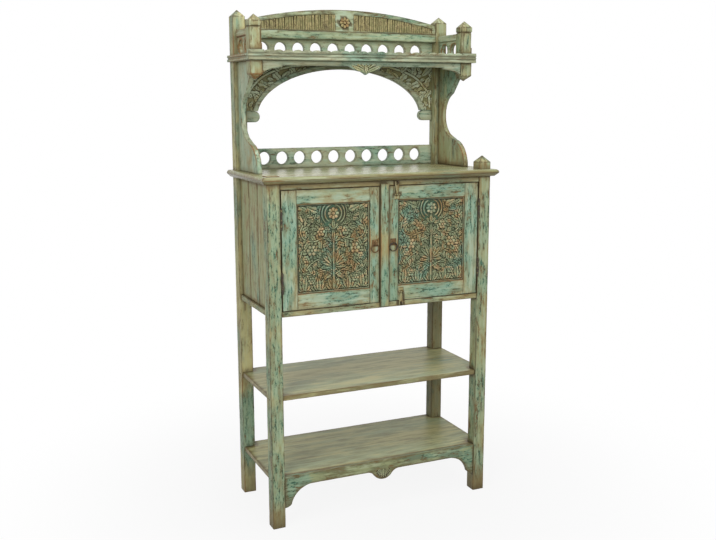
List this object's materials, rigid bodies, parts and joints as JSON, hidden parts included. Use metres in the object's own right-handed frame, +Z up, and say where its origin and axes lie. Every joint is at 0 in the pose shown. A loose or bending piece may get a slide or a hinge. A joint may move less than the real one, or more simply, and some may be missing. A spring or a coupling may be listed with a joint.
{
  "type": "buffet cabinet",
  "caption": "Tall painted wooden buffet cabinet: open shelves below, a carved double-door cupboard, and an arched hutch with a pierced gallery and crest above.",
  "frame": {"origin": "on the floor under the middle of the bounding box", "axes": "+X to the right as seen from the front, +Y to the back, +Z up"},
  "size_m": [0.948, 0.432, 1.9029],
  "materials": {
    "post_paint": "worn sage paint",
    "shelf_wood": "worn khaki paint over wood",
    "inside_wood": "bare aged wood",
    "carcass_paint": "worn olive paint",
    "door_paint": "worn sea green paint",
    "door_carving": "rubbed carving",
    "arch_carving": "rubbed carving",
    "hutch_paint": "worn sage paint",
    "crest_paint": "worn sage paint",
    "reed_paint": "brown olive reeding",
    "old_iron": "rusted",
    "hasp_paint": "painted over"
  },
  "bodies": {
    "frame": {"front_left_post": "post_paint", "front_right_post": "post_paint", "rear_left_post": "post_paint", "rear_right_post": "post_paint", "bottom_shelf": "shelf_wood", "middle_shelf": "shelf_wood", "bottom_apron": "carcass_paint", "cupboard_floor": "carcass_paint", "inner_shelf": "inside_wood", "inner_shelf_cleats": "inside_wood", "left_side_planks": "carcass_paint", "right_side_planks": "carcass_paint", "back_planks": "inside_wood", "top_rail": "carcass_paint", "door_stop": "inside_wood", "top_board": "shelf_wood", "left_side_bracket": "hutch_paint", "right_side_bracket": "hutch_paint", "lower_gallery_rail": "hutch_paint", "arch_board": "arch_carving", "top_shelf": "shelf_wood", "shelf_apron": "hutch_paint", "scalloped_strip": "hutch_paint", "left_gallery_post": "post_paint", "right_gallery_post": "post_paint", "left_gallery_side": "hutch_paint", "right_gallery_side": "hutch_paint", "left_gallery_rail": "hutch_paint", "right_gallery_rail": "hutch_paint", "rear_gallery_board": "hutch_paint", "crest_rail": "crest_paint", "crest_board": "crest_paint", "crest_left_reeds": "reed_paint", "crest_right_reeds": "reed_paint", "crest_rosette": "crest_paint", "hinge_frame_leaves": "old_iron", "hinge_pins": "old_iron", "hasp_staples": "old_iron"},
    "left_door": {"left_door_hinge_stile": "door_paint", "left_door_meeting_stile": "door_paint", "left_door_top_rail": "door_paint", "left_door_bottom_rail": "door_paint", "left_door_panel": "door_carving", "left_hinge_door_leaves": "old_iron", "left_pull_plate": "old_iron"},
    "right_door": {"right_door_hinge_stile": "door_paint", "right_door_meeting_stile": "door_paint", "right_door_top_rail": "door_paint", "right_door_bottom_rail": "door_paint", "right_door_panel": "door_carving", "meeting_strip": "door_paint", "right_hinge_door_leaves": "old_iron", "right_pull_plate": "old_iron", "top_hasp_plate": "hasp_paint", "bottom_hasp_plate": "hasp_paint"},
    "left_ring": {"left_pull_ring": "old_iron"},
    "right_ring": {"right_pull_ring": "old_iron"},
    "top_hasp": {"top_hasp_strap": "hasp_paint"},
    "bottom_hasp": {"bottom_hasp_strap": "hasp_paint"}
  },
  "joints": [
    {"name": "left_door_hinge", "type": "hinge", "parent": "frame", "child": "left_door", "pos_m": [-0.3998, -0.1944, 1.036], "axis": [0, 0, -1], "range_deg": [0, 165]},
    {"name": "right_door_hinge", "type": "hinge", "parent": "frame", "child": "right_door", "pos_m": [0.3998, -0.1944, 1.036], "axis": [0, 0, 1], "range_deg": [0, 165]},
    {"name": "left_ring_swing", "type": "hinge", "parent": "left_door", "child": "left_ring", "pos_m": [-0.038, -0.1926, 1.041], "axis": [-1, 0, 0], "range_deg": [0, 110]},
    {"name": "right_ring_swing", "type": "hinge", "parent": "right_door", "child": "right_ring", "pos_m": [0.037, -0.1926, 1.041], "axis": [-1, 0, 0], "range_deg": [0, 110]},
    {"name": "top_hasp_swing", "type": "hinge", "parent": "right_door", "child": "top_hasp", "pos_m": [0.052, -0.1911, 1.2195], "axis": [1, 0, 0], "range_deg": [0, 165]},
    {"name": "bottom_hasp_swing", "type": "hinge", "parent": "right_door", "child": "bottom_hasp", "pos_m": [0.07, -0.1911, 0.853], "axis": [-1, 0, 0], "range_deg": [0, 165]}
  ]
}
